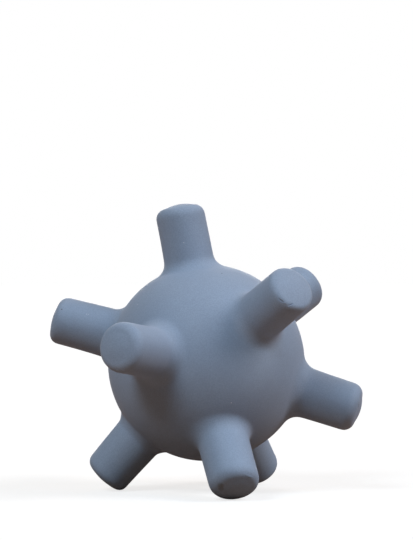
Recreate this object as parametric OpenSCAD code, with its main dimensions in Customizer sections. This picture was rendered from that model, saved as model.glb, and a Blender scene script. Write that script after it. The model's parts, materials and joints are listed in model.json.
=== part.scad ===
// Sensory ball for a baby: a soft hollow silicone ball with ten blunt pegs
// and a loose rattle capsule sealed inside.
// Two identical silicone mouldings, each with one pole peg and a ring of
// pegs, are bonded face to face and turned so that their rings interleave.
// The ball stands as it lies on a floor, on the rims of three peg tips.
// Millimetres. +Z is up. The origin is on the floor under the ball's centre.

/* [Ball] */
// Outer diameter of the hollow ball, without its pegs
ball_d = 62; // [58:1:66]
// Thickness of the silicone wall
ball_wall = 5; // [4:0.5:7]

/* [Pegs] */
// Distance from the ball's centre to the flat tip of a peg
peg_reach = 50; // [46:0.5:56]
// Diameter of a peg at its tip, before the rim is rounded
peg_tip_d = 14.7; // [12:0.2:16]
// Draft angle of a peg's side, for pulling it out of the mould
peg_draft = 1.8; // [0:0.2:3]
// Rounding of the rim round a peg's tip
peg_rim_r = 2.6; // [0.8:0.1:4]
// Radius of the hollow fillet where a peg grows out of the ball
peg_root_r = 4.8; // [2:0.1:5.5]
// Angle between the pole peg and each peg of the ring
peg_lean = 63.8; // [62:0.2:65]

/* [Seam] */
// Diameter of the adhesive ring that bonds the two mouldings
bond_d = 1.8; // [1:0.1:2.6]
// Gap between the adhesive ring and its groove
bond_gap = 0.1; // [0.05:0.05:0.2]

/* [Rattle capsule] */
// Outer diameter of the capsule
capsule_d = 30; // [26:1:34]
// Wall thickness of the capsule
capsule_wall = 1.2; // [1:0.1:1.8]
// Depth of the lid's spigot inside the cup
spigot_h = 1.6; // [1:0.1:2.4]
// Gap between the spigot and the cup
spigot_gap = 0.05; // [0.05:0.01:0.15]
// Height of the welding rim on each half of the capsule
weld_rim_h = 0.9; // [0.6:0.1:1.5]
// How far the welding rim stands out of the capsule
weld_rim_out = 0.6; // [0.3:0.1:1]

/* [Beads] */
// Diameter of a rattle bead
bead_d = 4; // [3:0.1:4.4]
// Gap between neighbouring beads
bead_gap = 0.5; // [0.2:0.1:0.6]
// Gap under the capsule and under each bead, where they lie loose
run_gap = 0.2; // [0.1:0.05:0.3]

/* [Hidden] */
$fn = 96;

silicone = [0.46, 0.53, 0.64];
adhesive = [0.55, 0.60, 0.68];
capsule_white = [0.90, 0.90, 0.87];
bead_colour = [0.93, 0.74, 0.36];

ring_pegs = 4;
stagger = 180 / ring_pegs;
bead_count = 5;

ball_r = ball_d / 2;
cavity_r = ball_r - ball_wall;
mid_wall_r = ball_r - ball_wall / 2;
bond_r = bond_d / 2;
groove_r = bond_r + bond_gap;

// Peg section in the half plane of radius and height: the side is the line
// radius * cos(draft) + height * sin(draft) = side
side = peg_tip_d / 2 * cos(peg_draft) + peg_reach * sin(peg_draft);
// The root fillet touches the ball and the side of the peg
root_u = side + peg_root_r;
root_v = sqrt((ball_r + peg_root_r) * (ball_r + peg_root_r) - root_u * root_u);
root_c = [
  root_u * cos(peg_draft) - root_v * sin(peg_draft),
  root_u * sin(peg_draft) + root_v * cos(peg_draft)
];
root_on_ball = root_c * ball_r / (ball_r + peg_root_r);
root_on_side = root_c - peg_root_r * [cos(peg_draft), sin(peg_draft)];
// The rim rounding touches the side of the peg and its flat tip
rim_z = peg_reach - peg_rim_r;
rim_c = [(side - peg_rim_r - rim_z * sin(peg_draft)) / cos(peg_draft), rim_z];
rim_on_side = rim_c + peg_rim_r * [cos(peg_draft), sin(peg_draft)];

// At rest one ring peg of the left half and two of the right half touch the
// floor, which tilts the pole axis by this angle from level
rest_tilt = atan(sin(peg_lean) * (1 - cos(stagger)) / (2 * cos(peg_lean)));
rest_lean = peg_lean - rest_tilt;
rest_h = rim_z * sin(rest_lean) + rim_c[0] * cos(rest_lean) + peg_rim_r;

capsule_r = capsule_d / 2;
capsule_in_r = capsule_r - capsule_wall;
spigot_r = capsule_r - capsule_wall / 2;
capsule_drop = cavity_r - capsule_r - run_gap;
bead_r = bead_d / 2;
bead_orbit_r = capsule_in_r - bead_r - run_gap;

module at_rest() {
  translate([0, 0, rest_h])
    rotate([0, rest_tilt - 90, 0])
      rotate([0, 0, 180])
        children();
}

module in_capsule() {
  translate([0, 0, rest_h - capsule_drop])
    children();
}

module peg() {
  rotate_extrude()
    union() {
      difference() {
        polygon([
          [0, mid_wall_r], root_on_ball, root_c, root_on_side,
          rim_on_side, rim_c, [rim_c[0], peg_reach], [0, peg_reach]
        ]);
        translate(root_c)
          circle(peg_root_r);
      }
      translate(rim_c)
        circle(peg_rim_r);
    }
}

module half_shell() {
  rotate_extrude()
    difference() {
      intersection() {
        circle(ball_r);
        square(ball_r);
      }
      circle(cavity_r);
      translate([mid_wall_r, 0])
        circle(groove_r);
    }
}

module half_moulding() {
  half_shell();
  peg();
  for (k = [0 : ring_pegs - 1])
    rotate([0, peg_lean, k * 360 / ring_pegs])
      peg();
}

module left_half() {
  color(silicone)
    at_rest()
      half_moulding();
}

module right_half() {
  color(silicone)
    at_rest()
      rotate([0, 0, stagger])
        rotate([180, 0, 0])
          half_moulding();
}

module seam_bond() {
  color(adhesive)
    at_rest()
      rotate_extrude()
        translate([mid_wall_r, 0])
          circle(bond_r);
}

// Section of a capsule half above the weld plane, with its welding rim
module capsule_section() {
  difference() {
    union() {
      intersection() {
        circle(capsule_r);
        square(capsule_r);
      }
      square([capsule_r + weld_rim_out, weld_rim_h]);
    }
    circle(capsule_in_r);
  }
}

module rattle_cup() {
  color(capsule_white)
    in_capsule()
      rotate_extrude()
        difference() {
          mirror([0, 1])
            capsule_section();
          translate([0, -spigot_h])
            square([spigot_r, spigot_h]);
        }
}

module rattle_lid() {
  color(capsule_white)
    in_capsule()
      rotate_extrude() {
        capsule_section();
        difference() {
          translate([0, spigot_gap - spigot_h])
            square([spigot_r - spigot_gap, spigot_h - spigot_gap]);
          circle(capsule_in_r);
        }
      }
}

module bead(number) {
  lane = (number - (bead_count + 1) / 2) * (bead_d + bead_gap);
  drop = sqrt(bead_orbit_r * bead_orbit_r - lane * lane);
  color(bead_colour)
    in_capsule()
      translate([lane, 0, -drop])
        sphere(bead_r);
}

left_half();
right_half();
seam_bond();
rattle_cup();
rattle_lid();
bead(1);  // bead_1
bead(2);  // bead_2
bead(3);  // bead_3
bead(4);  // bead_4
bead(5);  // bead_5
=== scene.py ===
"""Sensory ball for a baby: soft dusty blue silicone with ten blunt pegs.

The two silicone mouldings are modelled here as one skin of a ball and its
pegs, hollowed and cut apart at the seam. The rattle capsule, its beads and
the adhesive ring inside are the frame's own pieces with their finishes.
Metres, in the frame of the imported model: +Z up, the floor at zero.
"""
from collections import namedtuple
import json
import math

import bpy
from mathutils import Matrix, Vector


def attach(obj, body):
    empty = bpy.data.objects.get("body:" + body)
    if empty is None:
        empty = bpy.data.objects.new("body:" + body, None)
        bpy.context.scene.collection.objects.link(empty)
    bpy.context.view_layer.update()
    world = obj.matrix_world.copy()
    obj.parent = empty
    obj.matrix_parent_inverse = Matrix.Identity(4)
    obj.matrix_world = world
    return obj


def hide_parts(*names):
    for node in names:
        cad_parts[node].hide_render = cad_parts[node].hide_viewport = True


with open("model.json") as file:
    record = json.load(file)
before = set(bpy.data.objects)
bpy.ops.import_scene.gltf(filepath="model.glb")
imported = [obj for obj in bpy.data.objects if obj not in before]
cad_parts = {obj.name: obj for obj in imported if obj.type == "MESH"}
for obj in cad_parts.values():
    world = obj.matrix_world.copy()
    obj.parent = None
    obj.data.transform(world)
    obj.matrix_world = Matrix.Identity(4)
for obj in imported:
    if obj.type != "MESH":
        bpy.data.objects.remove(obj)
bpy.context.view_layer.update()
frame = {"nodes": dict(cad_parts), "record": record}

MM = 0.001

# Sizes of the silicone mouldings
BALL_RADIUS = 31 * MM
WALL = 5 * MM
MID_WALL_RADIUS = BALL_RADIUS - WALL / 2
PEG_TIP_RADIUS = 7.35 * MM
PEG_DRAFT = math.radians(1.8)
PEG_LEAN = math.radians(63.8)
RING_PEGS = 4
GROOVE_RADIUS = 1 * MM

# How wide a peg starts inside the wall, as a share of its fillet's centre circle
INNER_SHARE = 0.9
# How far the middle of a peg's tip stands out past its rim
CROWN = 0.7 * MM
# How late along its length a peg bends towards its tip, where 1 is a plain slant
BEND = 1.4
# Slow waves that the mould left in the skin
WAVE_LENGTH = 14 * MM
WAVE_HEIGHT = 0.16 * MM

# How finely the skin is meshed
VOXEL = 0.45 * MM
SMOOTHINGS = 6
BALL_SIDES = 160
CAVITY_SIDES = 96
GROOVE_SIDES = 24
MARK_SIDES = 24
PEG_SIDES = 96
ROOT_STEPS = 12
SIDE_STEPS = 8
RIM_STEPS = 8
CROWN_STEPS = (0.85, 0.7, 0.5, 0.3, 0.12)
# Edges shorter than this are taken out of a finished moulding
SLIVER = 0.001 * MM
# Edges that turn by more than this stay sharp
SHARP = math.radians(40)

# Places that the frame gives
mounts = {m["name"]: m for m in frame["record"]["mounts"]}
LEFT_TIP = Vector(mounts["left_tip"]["pos_m"])
RIGHT_TIP = Vector(mounts["right_tip"]["pos_m"])
BALL_CENTRE = (LEFT_TIP + RIGHT_TIP) / 2
PEG_REACH = (LEFT_TIP - RIGHT_TIP).length / 2
POLE = (LEFT_TIP - BALL_CENTRE).normalized()

# How each soft peg differs from a perfect one, in millimetres: how far its tip
# and its root stand off their true places, which way and how far the tip's face
# is worn over, which way and how far its root web leans, the rounding of its rim
# and of its root, how hollow the root is, from 0 for a straight web to 1 for a
# round fillet, and how many times its true size the tip is
Habit = namedtuple("Habit", "tip root wear web rim fillet hollow full")
PEG_HABITS = {
    "left_0": Habit(
        (-1.05, 0.0, -0.4), (0.0, 0.0, 0.0), (0.0, 0.0, 0.1), (0.0, 0.0, 0.0),
        2.6, 3.6, 0.8, 1.01,
    ),
    "left_1": Habit(
        (0.7, 0.0, -0.4), (0.3, 0.0, 0.0), (0.1, 0.0, 0.1), (0.0, 0.0, 0.0),
        2.6, 3.4, 0.35, 1.0,
    ),
    "left_2": Habit(
        (-0.6, 0.0, 0.3), (0.0, 0.0, 0.0), (-0.4, 0.0, -0.1), (0.0, 0.0, 0.0),
        3.0, 4.4, 0.6, 1.04,
    ),
    "left_3": Habit(
        (-0.6, 0.0, 0.6), (0.0, 0.0, 0.0), (0.3, 0.0, 0.0), (0.0, 0.0, 0.0),
        3.2, 4.8, 1.0, 1.05,
    ),
    "left_4": Habit(
        (0.2, 0.1, 0.1), (0.0, 0.0, 0.0), (0.2, 0.0, 0.2), (0.0, 0.0, 0.0),
        2.8, 4.8, 1.0, 1.0,
    ),
    "right_0": Habit(
        (0.7, 0.0, -0.5), (0.0, 0.0, 0.05), (0.0, 0.0, 0.1), (0.0, 0.0, 0.0),
        3.4, 5.4, 1.0, 1.03,
    ),
    "right_1": Habit(
        (1.0, 0.0, -0.7), (0.0, 0.0, 0.0), (0.4, 0.0, 0.6), (-1.2, 0.0, 0.0),
        3.3, 4.6, 0.9, 1.05,
    ),
    "right_2": Habit(
        (1.3, 0.0, -0.35), (0.3, 0.0, 0.0), (0.1, 0.0, 0.0), (0.0, 0.0, 0.0),
        2.2, 4.8, 1.0, 1.0,
    ),
    "right_3": Habit(
        (0.0, 0.0, 0.9), (0.0, 0.0, 1.1), (0.1, 0.0, -0.1), (0.0, 0.0, 0.0),
        2.6, 4.8, 1.0, 1.0,
    ),
    "right_4": Habit(
        (0.6, 0.0, 0.35), (0.0, 0.0, 0.0), (0.2, 0.0, -0.8), (0.0, 0.0, 0.0),
        2.2, 4.8, 1.0, 1.03,
    ),
}

# Marks that trimming and wear left on the tips, in millimetres: the place, which
# way the mark runs, and its length, width and depth. A depth below zero is a burr.
# Each place is clear of the folds between faces, where either face could be taken
# as the nearest.
TRIM_MARKS = (
    ((26.8, -36.2, 60.9), (0.7, 0.1, -0.5), (2.4, 0.6, 0.24)),
    ((29.7, -35.3, 59.6), (0.9, 0.0, 0.4), (2.4, 0.5, 0.3)),
    ((28.35, -35.96, 59.87), (0.8, 0.0, -0.5), (1.8, 0.35, -0.1)),
    ((8.6, -33.3, 4.3), (0.3, 0.0, 1.0), (2.6, 1.7, 0.11)),
    ((17.0, -34.2, 7.9), (0.69, 0.66, -0.33), (3.6, 0.7, -0.07)),
    ((-21.5, -44.2, 40.3), (0.9, 0.0, -0.3), (1.2, 0.5, 0.12)),
    ((-19.6, -44.6, 40.0), (1.0, 0.0, 0.1), (1.0, 0.4, -0.1)),
    ((48.6, -4.6, 27.5), (0.2, 0.2, 1.0), (1.4, 0.5, 0.16)),
)

# Specks of lint that lie on the silicone, in millimetres: the place and radius
PALE_LINT = (
    ((-8.87, -30.04, 36.69), 0.26),
    ((10.86, -26.83, 29.55), 0.22),
    ((16.17, -29.63, 14.42), 0.24),
    ((-37.2, -6.4, 56.0), 0.2),
    ((-36.6, -6.3, 55.9), 0.16),
)
DARK_LINT = (
    ((-45.09, -6.34, 57.48), 0.3),
    ((6.2, -11.24, 68.85), 0.26),
)
# A darker patch painted on the face of the tip that stands on the floor at the front
DARK_PATCH = (
    ((8.42, -33.92, 5.03), 1.3),
    ((8.46, -32.9, 3.9), 1.1),
)


# Modelling helpers

def select_none():
    """Takes every object out of the selection."""
    bpy.ops.object.select_all(action="DESELECT")


def pick(piece):
    """Selects one object alone and makes it the active one."""
    select_none()
    piece.select_set(True)
    bpy.context.view_layer.objects.active = piece
    return piece


def added(name):
    """Names the object that an operator has just added."""
    piece = bpy.context.active_object
    piece.name = piece.data.name = name
    return piece


def edit_all():
    """Opens the active mesh in edit mode with all of it selected."""
    bpy.ops.object.mode_set(mode="EDIT")
    bpy.ops.mesh.select_all(action="SELECT")


def edit_done():
    """Leaves edit mode."""
    bpy.ops.object.mode_set(mode="OBJECT")


def press_on(piece, kind, name, **settings):
    """Adds a modifier and applies it."""
    pick(piece)
    step = piece.modifiers.new(name, kind)
    for key, value in settings.items():
        setattr(step, key, value)
    bpy.ops.object.modifier_apply(modifier=step.name)
    return piece


def cut_with(piece, tool, operation):
    """Booleans one closed mesh with another and throws the tool away."""
    press_on(piece, "BOOLEAN", "cut", operation=operation, solver="MANIFOLD", object=tool)
    bpy.data.objects.remove(tool)
    return piece


def settle(piece):
    """Puts the object's place into its mesh."""
    pick(piece)
    bpy.ops.object.transform_apply(location=True, rotation=True, scale=True)
    return piece


# The silicone mouldings

# One ring of a peg: its radius, its height over the ball's centre and how far round
# the rim it lies, from 0 on the side to 1 on the tip
Ring = namedtuple("Ring", "radius height rounding")


def peg_rings(rim, fillet, hollow):
    """The rings that a peg is drawn up through, from inside the ball's wall to the tip."""
    cos_d, sin_d = math.cos(PEG_DRAFT), math.sin(PEG_DRAFT)
    side = PEG_TIP_RADIUS * cos_d + PEG_REACH * sin_d
    u = side + fillet
    v = math.sqrt((BALL_RADIUS + fillet) ** 2 - u * u)
    root = (u * cos_d - v * sin_d, u * sin_d + v * cos_d)
    start = math.atan2(root[1], root[0])
    rings = [Ring(root[0] * INNER_SHARE, MID_WALL_RADIUS, 0)]
    turns = [start + math.pi + (PEG_DRAFT - start) * i / ROOT_STEPS for i in range(ROOT_STEPS + 1)]
    arc = [Vector((root[0] + fillet * math.cos(t), root[1] + fillet * math.sin(t))) for t in turns]
    for i, bend in enumerate(arc):
        web = arc[0].lerp(arc[-1], i / ROOT_STEPS).lerp(bend, hollow)
        rings.append(Ring(web.x, web.y, 0))
    rim_height = PEG_REACH - CROWN - rim
    rim_radius = (side - rim - rim_height * sin_d) / cos_d
    low = rings[-1]
    high = Ring(rim_radius + rim * cos_d, rim_height + rim * sin_d, 0)
    for i in range(1, SIDE_STEPS):
        share = i / SIDE_STEPS
        rings.append(Ring(
            low.radius + (high.radius - low.radius) * share,
            low.height + (high.height - low.height) * share, 0,
        ))
    for i in range(RIM_STEPS + 1):
        turn = PEG_DRAFT + (math.pi / 2 - PEG_DRAFT) * i / RIM_STEPS
        rings.append(Ring(
            rim_radius + rim * math.cos(turn), rim_height + rim * math.sin(turn),
            1 - math.cos(turn) if i < RIM_STEPS else 1,
        ))
    for share in CROWN_STEPS:
        rings.append(Ring(rim_radius * share, PEG_REACH - CROWN * share * share, 1))
    return rings


def peg(name, placing, habit):
    """One peg, drawn up ring by ring from a disc, bent a little and set into the ball."""
    web = placing.to_3x3().inverted() @ Vector(habit.web) * MM
    placing = placing @ Matrix.Rotation(math.atan2(web.y, web.x), 4, "Z")
    web_lean = web.xy.length / BALL_RADIUS
    to_peg = placing.to_3x3().inverted()
    tip, root, wear = (
        to_peg @ Vector(offset) * MM for offset in (habit.tip, habit.root, habit.wear)
    )
    wear.z = 0
    rings = peg_rings(habit.rim * MM, habit.fillet * MM, habit.hollow)
    widest, neck = rings[1].radius, rings[1 + ROOT_STEPS].radius
    radius = rings[0].radius
    select_none()
    bpy.ops.mesh.primitive_circle_add(
        vertices=PEG_SIDES, radius=radius, fill_type="NGON", location=(0, 0, 0)
    )
    piece = added(name)
    edit_all()
    centre = Vector((0, 0, rings[0].height)) + root
    bpy.ops.transform.translate(value=centre)
    lean = 0
    for ring in rings[1:]:
        along = max(0, (ring.height - BALL_RADIUS) / (PEG_REACH - BALL_RADIUS)) ** BEND
        target = Vector((0, 0, ring.height)) + root.lerp(tip, along) + wear * ring.rounding
        leaning = Matrix.Rotation(lean, 3, "Y")
        bpy.ops.mesh.extrude_region_move(
            TRANSFORM_OT_translate={"value": leaning @ (target - centre)}
        )
        next_lean = web_lean * max(0, (ring.radius - neck) / (widest - neck))
        wide = ring.radius * (1 + (habit.full - 1) * along)
        bpy.ops.transform.resize(
            value=(wide / radius,) * 3, center_override=leaning @ target
        )
        if next_lean != lean:
            # With no window the operator turns the other way
            bpy.ops.transform.rotate(
                value=lean - next_lean, orient_axis="Y", center_override=(0, 0, 0)
            )
        radius, centre, lean = wide, target, next_lean
    edit_done()
    piece.matrix_world = placing
    return settle(piece)


def ball_frame():
    """The ball's own frame: +Z along the left pole, a ring peg towards the floor along +X."""
    across = Vector((0, -1, 0))
    down = across.cross(POLE)
    turn = Matrix((down, across, POLE)).transposed().to_4x4()
    return Matrix.Translation(BALL_CENTRE) @ turn


def peg_places():
    """Name and placing of every peg, each half in its own turn."""
    stagger = math.pi / RING_PEGS
    left = ball_frame()
    right = left @ Matrix.Rotation(stagger, 4, "Z") @ Matrix.Rotation(math.pi, 4, "X")
    for side, base in (("left", left), ("right", right)):
        yield f"{side}_0", base
        for k in range(RING_PEGS):
            round_pole = Matrix.Rotation(k * 2 * math.pi / RING_PEGS, 4, "Z")
            yield f"{side}_{k + 1}", base @ round_pole @ Matrix.Rotation(PEG_LEAN, 4, "Y")


def ball_skin():
    """The outer skin of the whole ball, pegs grown into it, before it is hollowed."""
    select_none()
    bpy.ops.mesh.primitive_uv_sphere_add(
        segments=BALL_SIDES, ring_count=BALL_SIDES // 2, radius=BALL_RADIUS, location=BALL_CENTRE
    )
    skin = settle(added("ball_skin"))
    pegs = [peg(f"peg_{name}", place, PEG_HABITS[name]) for name, place in peg_places()]
    pick(skin)
    for piece in pegs:
        piece.select_set(True)
    bpy.ops.object.join()
    press_on(skin, "REMESH", "grow together", mode="VOXEL", voxel_size=VOXEL)
    press_on(skin, "SMOOTH", "even out", factor=0.5, iterations=SMOOTHINGS)
    waves = bpy.data.textures.new("moulding waves", "CLOUDS")
    waves.noise_scale = WAVE_LENGTH
    waves.noise_depth = 1
    press_on(
        skin, "DISPLACE", "moulding waves", texture=waves, texture_coords="LOCAL",
        strength=WAVE_HEIGHT, mid_level=0.5,
    )
    for place, run, size in TRIM_MARKS:
        trim_mark(skin, Vector(place) * MM, Vector(run), size)
    return skin


def trim_mark(skin, place, run, size):
    """Cuts a shallow nick into the skin at its nearest point, or adds a small burr to it."""
    point, outward = skin.closest_point_on_mesh(place)[1:3]
    across = outward.cross(run).normalized()
    along = across.cross(outward)
    length, width, depth = (value * MM for value in size)
    select_none()
    bpy.ops.mesh.primitive_uv_sphere_add(
        segments=MARK_SIDES, ring_count=MARK_SIDES // 2, radius=0.5, location=(0, 0, 0)
    )
    tool = added("trim_tool")
    edit_all()
    bpy.ops.transform.resize(value=(length, width, 2 * abs(depth)))
    edit_done()
    turn = Matrix((along, across, outward)).transposed().to_4x4()
    tool.matrix_world = Matrix.Translation(point) @ turn
    cut_with(skin, settle(tool), "DIFFERENCE" if depth > 0 else "UNION")


def hollow(skin):
    """Takes out the cavity and the groove for the adhesive ring."""
    select_none()
    bpy.ops.mesh.primitive_uv_sphere_add(
        segments=CAVITY_SIDES, ring_count=CAVITY_SIDES // 2,
        radius=BALL_RADIUS - WALL, location=BALL_CENTRE,
    )
    cut_with(skin, settle(added("cavity_core")), "DIFFERENCE")
    select_none()
    bpy.ops.mesh.primitive_torus_add(
        major_segments=BALL_SIDES, minor_segments=GROOVE_SIDES,
        major_radius=MID_WALL_RADIUS, minor_radius=GROOVE_RADIUS,
    )
    groove = added("groove_core")
    # A hair off the seam, so that the seam cuts through faces and not along corners
    groove.matrix_world = ball_frame() @ Matrix.Translation((0, 0, 0.02 * MM))
    return cut_with(skin, settle(groove), "DIFFERENCE")


def moulding(name, skin, side):
    """One half of the skin, cut off square at the seam. Side is 1 towards the left pole, or -1."""
    pick(skin)
    bpy.ops.object.duplicate()
    half = added(name)
    select_none()
    reach = 2 * PEG_REACH
    bpy.ops.mesh.primitive_cube_add(size=2 * reach, location=(0, 0, 0))
    block = added("seam_block")
    block.matrix_world = ball_frame() @ Matrix.Translation((0, 0, side * reach))
    cut_with(half, settle(block), "INTERSECT")
    pick(half)
    edit_all()
    bpy.ops.mesh.dissolve_degenerate(threshold=SLIVER)
    edit_done()
    bpy.ops.object.shade_smooth_by_angle(angle=SHARP)
    return half


# Finishes

def new_group(name, inputs, outputs):
    """An empty shader group with its sockets: name, kind and default of each."""
    group = bpy.data.node_groups.new(name, "ShaderNodeTree")
    for label, kind, value in inputs:
        socket = group.interface.new_socket(label, in_out="INPUT", socket_type=kind)
        socket.default_value = value
    for label, kind in outputs:
        group.interface.new_socket(label, in_out="OUTPUT", socket_type=kind)
    enter = group.nodes.new("NodeGroupInput")
    leave = group.nodes.new("NodeGroupOutput")
    return group, enter, leave


def math_node(tree, operation, first, second=None, clamp=False):
    """A math node whose inputs are sockets or plain numbers. Returns its output."""
    node = tree.nodes.new("ShaderNodeMath")
    node.operation = operation
    node.use_clamp = clamp
    for slot, value in enumerate((first, second)):
        if isinstance(value, bpy.types.NodeSocket):
            tree.links.new(value, node.inputs[slot])
        elif value is not None:
            node.inputs[slot].default_value = value
    return node.outputs[0]


def range_node(tree, value, low, high, to_low=0.0, to_high=1.0):
    """Maps a value smoothly from one range to another."""
    node = tree.nodes.new("ShaderNodeMapRange")
    node.interpolation_type = "SMOOTHSTEP"
    tree.links.new(value, node.inputs["Value"])
    for label, amount in (
        ("From Min", low), ("From Max", high), ("To Min", to_low), ("To Max", to_high)
    ):
        if isinstance(amount, bpy.types.NodeSocket):
            tree.links.new(amount, node.inputs[label])
        else:
            node.inputs[label].default_value = amount
    return node.outputs["Result"]


# The sockets of a Mix node that belong to colours
MIX_FIRST, MIX_SECOND, MIX_RESULT = 6, 7, 2


def mix_colour(tree, share, first, second):
    """Mixes two colours, given as sockets or linear values."""
    node = tree.nodes.new("ShaderNodeMix")
    node.data_type = "RGBA"
    tree.links.new(share, node.inputs[0])
    for slot, value in ((MIX_FIRST, first), (MIX_SECOND, second)):
        if isinstance(value, bpy.types.NodeSocket):
            tree.links.new(value, node.inputs[slot])
        else:
            node.inputs[slot].default_value = (*value, 1)
    return node.outputs[MIX_RESULT]


def grain_group():
    """Fine spark grain and slow mottling that all the moulded pieces share."""
    group, enter, leave = new_group(
        "moulded grain",
        (("Place", "NodeSocketVector", (0, 0, 0)), ("Grain", "NodeSocketFloat", 3000.0),
         ("Mottle", "NodeSocketFloat", 60.0)),
        (("Height", "NodeSocketFloat"), ("Tone", "NodeSocketFloat")),
    )
    fine = group.nodes.new("ShaderNodeTexNoise")
    fine.inputs["Detail"].default_value = 3
    fine.inputs["Roughness"].default_value = 0.65
    slow = group.nodes.new("ShaderNodeTexNoise")
    slow.inputs["Detail"].default_value = 4
    slow.inputs["Roughness"].default_value = 0.55
    for node, size in ((fine, "Grain"), (slow, "Mottle")):
        group.links.new(enter.outputs["Place"], node.inputs["Vector"])
        group.links.new(enter.outputs[size], node.inputs["Scale"])
    group.links.new(fine.outputs["Fac"], leave.inputs["Height"])
    group.links.new(range_node(group, slow.outputs["Fac"], 0.3, 0.7), leave.inputs["Tone"])
    return group


def specks_group():
    """Scattered dust specks: a few cells of a cell pattern hold one each."""
    group, enter, leave = new_group(
        "dust specks",
        (("Place", "NodeSocketVector", (0, 0, 0)), ("Cells", "NodeSocketFloat", 200.0),
         ("Size", "NodeSocketFloat", 0.1), ("Share", "NodeSocketFloat", 0.1)),
        (("Mask", "NodeSocketFloat"),),
    )
    cells = group.nodes.new("ShaderNodeTexVoronoi")
    cells.feature = "F1"
    group.links.new(enter.outputs["Place"], cells.inputs["Vector"])
    group.links.new(enter.outputs["Cells"], cells.inputs["Scale"])
    half = math_node(group, "MULTIPLY", enter.outputs["Size"], 0.5)
    near = range_node(group, cells.outputs["Distance"], enter.outputs["Size"], half)
    split = group.nodes.new("ShaderNodeSeparateColor")
    group.links.new(cells.outputs["Color"], split.inputs[0])
    chosen = math_node(group, "LESS_THAN", split.outputs[0], enter.outputs["Share"])
    mask = math_node(group, "MULTIPLY", near, chosen)
    group.links.new(mask, leave.inputs["Mask"])
    return group


def spot_group():
    """One speck or darker patch that lies at a given spot."""
    group, enter, leave = new_group(
        "one speck",
        (("Place", "NodeSocketVector", (0, 0, 0)), ("Spot", "NodeSocketVector", (0, 0, 0)),
         ("Size", "NodeSocketFloat", 0.0002)),
        (("Mask", "NodeSocketFloat"),),
    )
    gap = group.nodes.new("ShaderNodeVectorMath")
    gap.operation = "DISTANCE"
    group.links.new(enter.outputs["Place"], gap.inputs[0])
    group.links.new(enter.outputs["Spot"], gap.inputs[1])
    half = math_node(group, "MULTIPLY", enter.outputs["Size"], 0.5)
    near = range_node(group, gap.outputs["Value"], enter.outputs["Size"], half)
    group.links.new(near, leave.inputs["Mask"])
    return group


def place_group(tree, group, place, **values):
    """Puts a shared group into a material with its own values."""
    node = tree.nodes.new("ShaderNodeGroup")
    node.node_tree = group
    tree.links.new(place, node.inputs["Place"])
    for label, value in values.items():
        node.inputs[label].default_value = value
    return node


def new_finish(name):
    """A material with its shader, and the object coordinates that its patterns read."""
    finish = bpy.data.materials.new(name)
    finish.use_nodes = True
    tree = finish.node_tree
    shader = tree.nodes["Principled BSDF"]
    place = tree.nodes.new("ShaderNodeTexCoord").outputs["Object"]
    return finish, tree, shader, place


def bump(tree, shader, height, strength, depth):
    """Feeds a height to the shader's normal. Depth is in metres."""
    node = tree.nodes.new("ShaderNodeBump")
    node.inputs["Strength"].default_value = strength
    node.inputs["Distance"].default_value = depth
    tree.links.new(height, node.inputs["Height"])
    tree.links.new(node.outputs["Normal"], shader.inputs["Normal"])


def spots_mask(tree, spot, place, spots):
    """Joins the masks of several specks or darker patches, given in millimetres."""
    mask = None
    for where, radius in spots:
        at = [value * MM for value in where]
        speck = place_group(tree, spot, place, Spot=at, Size=radius * MM).outputs["Mask"]
        mask = math_node(tree, "MAXIMUM", mask, speck) if mask else speck
    return mask


def silicone_finish(grain, specks, spot):
    """Matte dusty blue silicone with a powdery feel, fine grain and a little dust."""
    finish, tree, shader, place = new_finish("dusty blue silicone")
    skin = place_group(tree, grain, place, Grain=2600.0, Mottle=55.0)
    patches = place_group(tree, grain, place, Grain=900.0, Mottle=320.0)
    dust = place_group(tree, specks, place, Cells=150.0, Size=0.03, Share=0.10)
    pale = spots_mask(tree, spot, place, PALE_LINT)
    dark = spots_mask(tree, spot, place, DARK_LINT)
    colour = mix_colour(tree, skin.outputs["Tone"], (0.278, 0.358, 0.481), (0.300, 0.383, 0.509))
    fleck = math_node(tree, "MULTIPLY", patches.outputs["Tone"], 0.16)
    colour = mix_colour(tree, fleck, colour, (0.235, 0.305, 0.415))
    speckle = range_node(tree, skin.outputs["Height"], 0.4, 0.6, 0.0, 0.6)
    colour = mix_colour(tree, speckle, colour, (0.235, 0.300, 0.405))
    pale = math_node(tree, "MAXIMUM", dust.outputs["Mask"], pale)
    colour = mix_colour(tree, pale, colour, (0.62, 0.66, 0.72))
    colour = mix_colour(tree, dark, colour, (0.10, 0.11, 0.13))
    # Darkens the colour over a patch on the face of the front floor tip
    dark_patch = math_node(tree, "MULTIPLY", spots_mask(tree, spot, place, DARK_PATCH), 0.45)
    colour = mix_colour(tree, dark_patch, colour, (0.13, 0.13, 0.12))
    tree.links.new(colour, shader.inputs["Base Color"])
    rough = range_node(tree, skin.outputs["Tone"], 0.0, 1.0, 0.60, 0.70)
    tree.links.new(rough, shader.inputs["Roughness"])
    shader.inputs["IOR"].default_value = 1.41
    shader.inputs["Specular IOR Level"].default_value = 0.4
    shader.inputs["Sheen Weight"].default_value = 0.12
    shader.inputs["Sheen Roughness"].default_value = 0.45
    shader.inputs["Sheen Tint"].default_value = (0.9, 0.88, 1.0, 1)
    rise = math_node(tree, "MULTIPLY", pale, 2.0)
    height = math_node(tree, "ADD", skin.outputs["Height"], rise)
    height = math_node(tree, "ADD", height, patches.outputs["Height"])
    bump(tree, shader, height, 0.35, 0.06 * MM)
    return finish


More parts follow.
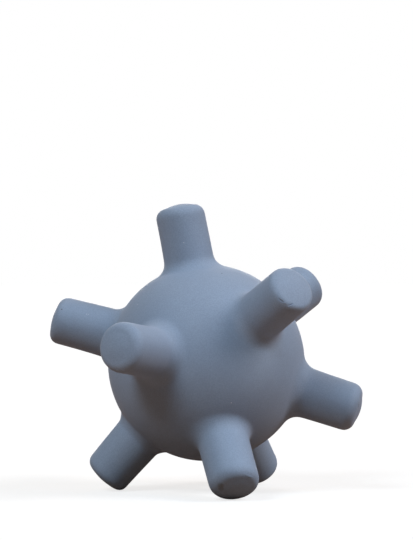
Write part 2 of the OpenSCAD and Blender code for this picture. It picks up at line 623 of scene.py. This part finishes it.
def adhesive_finish(grain, specks):
    """Cured silicone adhesive: smoother and a little glossy, with small trapped bubbles."""
    finish, tree, shader, place = new_finish("cured silicone adhesive")
    skin = place_group(tree, grain, place, Grain=1400.0, Mottle=180.0)
    bubbles = place_group(tree, specks, place, Cells=900.0, Size=0.22, Share=0.12)
    colour = mix_colour(tree, skin.outputs["Tone"], (0.30, 0.36, 0.45), (0.36, 0.42, 0.50))
    colour = mix_colour(tree, bubbles.outputs["Mask"], colour, (0.50, 0.56, 0.63))
    tree.links.new(colour, shader.inputs["Base Color"])
    rough = range_node(tree, skin.outputs["Tone"], 0.0, 1.0, 0.28, 0.42)
    tree.links.new(rough, shader.inputs["Roughness"])
    shader.inputs["IOR"].default_value = 1.41
    dip = math_node(tree, "MULTIPLY", bubbles.outputs["Mask"], -1.5)
    bump(tree, shader, math_node(tree, "ADD", skin.outputs["Height"], dip), 0.4, 0.05 * MM)
    return finish


def capsule_finish(grain, specks):
    """Ivory capsule plastic with a spark-eroded surface and rubbed spots."""
    finish, tree, shader, place = new_finish("ivory capsule plastic")
    skin = place_group(tree, grain, place, Grain=4200.0, Mottle=110.0)
    rubs = place_group(tree, specks, place, Cells=240.0, Size=0.35, Share=0.2)
    colour = mix_colour(tree, skin.outputs["Tone"], (0.74, 0.73, 0.66), (0.80, 0.79, 0.73))
    colour = mix_colour(tree, rubs.outputs["Mask"], colour, (0.66, 0.65, 0.60))
    tree.links.new(colour, shader.inputs["Base Color"])
    rough = range_node(tree, rubs.outputs["Mask"], 0.0, 1.0, 0.46, 0.3)
    tree.links.new(rough, shader.inputs["Roughness"])
    bump(tree, shader, skin.outputs["Height"], 0.3, 0.04 * MM)
    return finish


def bead_finish(grain, specks):
    """Glossy amber bead plastic with flow marks and tumbling scratches."""
    finish, tree, shader, place = new_finish("amber bead plastic")
    skin = place_group(tree, grain, place, Grain=1200.0, Mottle=420.0)
    chips = place_group(tree, specks, place, Cells=1500.0, Size=0.18, Share=0.2)
    colour = mix_colour(tree, skin.outputs["Tone"], (0.78, 0.44, 0.09), (0.86, 0.53, 0.14))
    colour = mix_colour(tree, chips.outputs["Mask"], colour, (0.60, 0.34, 0.08))
    tree.links.new(colour, shader.inputs["Base Color"])
    rough = range_node(tree, skin.outputs["Tone"], 0.0, 1.0, 0.16, 0.26)
    tree.links.new(rough, shader.inputs["Roughness"])
    dip = math_node(tree, "MULTIPLY", chips.outputs["Mask"], -1.0)
    bump(tree, shader, dip, 0.4, 0.05 * MM)
    return finish


def finish_piece(piece, finish):
    """Gives a piece one finish all over."""
    piece.data.materials.clear()
    piece.data.materials.append(finish)


# The studio

FLOOR_RADIUS = 8
FLOOR_SIDES = 96
# How far from the middle the ball's shade on the floor starts to lift, and where it ends
BALL_SHADE = (40 * MM, 110 * MM)


def studio_floor():
    """A wide pale floor: white with a soft shadow to the camera, a dim warm bounce to the ball.

    The bounce grows away from the ball, as the floor near it lies in its shade.
    """
    select_none()
    bpy.ops.mesh.primitive_circle_add(
        vertices=FLOOR_SIDES, radius=FLOOR_RADIUS, fill_type="NGON", location=(0, 0, 0)
    )
    floor = added("studio_floor")
    finish = bpy.data.materials.new("pale floor")
    finish.use_nodes = True
    tree = finish.node_tree
    tree.nodes.clear()
    out = tree.nodes.new("ShaderNodeOutputMaterial")
    path = tree.nodes.new("ShaderNodeLightPath")
    choose = tree.nodes.new("ShaderNodeMixShader")
    direct = math_node(
        tree, "MAXIMUM", path.outputs["Is Camera Ray"], path.outputs["Is Transmission Ray"]
    )
    tree.links.new(direct, choose.inputs[0])
    away = tree.nodes.new("ShaderNodeVectorMath")
    away.operation = "LENGTH"
    tree.links.new(tree.nodes.new("ShaderNodeTexCoord").outputs["Object"], away.inputs[0])
    open_floor = range_node(tree, away.outputs["Value"], *BALL_SHADE)
    for slot, colour, glow, strength in (
        (1, (0.30, 0.20, 0.145), (0.070, 0.046, 0.038), open_floor),
        (2, (0.30, 0.30, 0.30), (0.77, 0.77, 0.77), None),
    ):
        matte = tree.nodes.new("ShaderNodeBsdfDiffuse")
        matte.inputs["Color"].default_value = (*colour, 1)
        shine = tree.nodes.new("ShaderNodeEmission")
        shine.inputs["Color"].default_value = (*glow, 1)
        if strength:
            tree.links.new(strength, shine.inputs["Strength"])
        both = tree.nodes.new("ShaderNodeAddShader")
        tree.links.new(matte.outputs[0], both.inputs[0])
        tree.links.new(shine.outputs[0], both.inputs[1])
        tree.links.new(both.outputs[0], choose.inputs[slot])
    tree.links.new(choose.outputs[0], out.inputs["Surface"])
    finish_piece(floor, finish)


def window(name, azimuth, elevation, width, strength, colour):
    """A far soft window. Azimuth runs from the front (-Y) to the right (+X), width is its angle."""
    lamp = bpy.data.lights.new(name, "SUN")
    lamp.energy = strength
    lamp.color = colour
    lamp.angle = math.radians(width)
    piece = bpy.data.objects.new(name, lamp)
    bpy.context.scene.collection.objects.link(piece)
    turn, rise = math.radians(azimuth), math.radians(elevation)
    towards = Vector((
        math.sin(turn) * math.cos(rise), -math.cos(turn) * math.cos(rise), math.sin(rise)
    ))
    piece.rotation_euler = towards.to_track_quat("Z", "Y").to_euler()


def studio_light():
    """Six soft windows, and a backdrop that is white to the camera and in reflections."""
    window("front_window", -25, 45, 22, 1.06, (0.651, 0.855, 1.0))
    window("left_window", -35, 45, 22, 0.698, (1.0, 0.87, 0.79))
    window("right_window", 82, 41, 27, 1.832, (1.0, 0.916, 0.874))
    window("high_window", 60, 50, 40, 0.446, (0.0, 0.502, 1.0))
    window("roof_window", 180, 60, 60, 0.477, (1.0, 0.583, 0.216))
    window("rear_window", 187, 5, 30, 1.0, (1.0, 1.0, 1.0))

    world = bpy.data.worlds.new("white backdrop")
    bpy.context.scene.world = world
    world.use_nodes = True
    tree = world.node_tree
    tree.nodes.clear()
    out = tree.nodes.new("ShaderNodeOutputWorld")
    white = tree.nodes.new("ShaderNodeBackground")
    path = tree.nodes.new("ShaderNodeLightPath")
    seen = math_node(tree, "MAXIMUM", path.outputs["Is Camera Ray"], path.outputs["Is Glossy Ray"])
    seen = math_node(tree, "MAXIMUM", seen, path.outputs["Is Transmission Ray"])
    white.inputs["Color"].default_value = (1, 1, 1, 1)
    tree.links.new(seen, white.inputs["Strength"])
    tree.links.new(white.outputs[0], out.inputs["Surface"])


def camera():
    """The photograph's camera: level, a little right of the ball and a little above it."""
    picture_height = 540
    ball_radius_px = 98.2
    ball_centre_px = Vector((206.3, 362.6))
    picture_centre_px = Vector((206.5, 270.0))
    distance = 25 * BALL_RADIUS
    azimuth = math.radians(6.85)
    elevation = math.radians(2.26)
    focal_px = ball_radius_px * distance / BALL_RADIUS
    data = bpy.data.cameras.new("camera")
    data.sensor_fit = "AUTO"
    data.sensor_width = 36.0
    data.lens = focal_px * data.sensor_width / picture_height
    data.clip_start = 0.01
    data.clip_end = 30.0
    eye = bpy.data.objects.new("camera", data)
    bpy.context.scene.collection.objects.link(eye)
    back = Vector((
        math.sin(azimuth) * math.cos(elevation),
        -math.cos(azimuth) * math.cos(elevation),
        math.sin(elevation),
    ))
    eye.location = BALL_CENTRE + back * distance
    off = (ball_centre_px - picture_centre_px) / focal_px
    pitch = -elevation + math.atan(off.y)
    heading = azimuth + math.atan(off.x)
    eye.rotation_euler = (math.pi / 2 + pitch, 0, heading)
    bpy.context.scene.camera = eye


camera()
studio_light()
studio_floor()

grain = grain_group()
specks = specks_group()
silicone = silicone_finish(grain, specks, spot_group())

skin = hollow(ball_skin())
for name, node, side in (("left_moulding", "left_half", 1), ("right_moulding", "right_half", -1)):
    half = moulding(name, skin, side)
    finish_piece(half, silicone)
    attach(half, "ball")
    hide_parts(node)
bpy.data.objects.remove(skin)

finish_piece(frame["nodes"]["seam_bond"], adhesive_finish(grain, specks))
capsule = capsule_finish(grain, specks)
for node in ("rattle_cup", "rattle_lid"):
    finish_piece(frame["nodes"][node], capsule)
amber = bead_finish(grain, specks)
for node in sorted(frame["nodes"]):
    if node.startswith("bead_"):
        finish_piece(frame["nodes"][node], amber)

bpy.context.scene.view_settings.view_transform = "Standard"
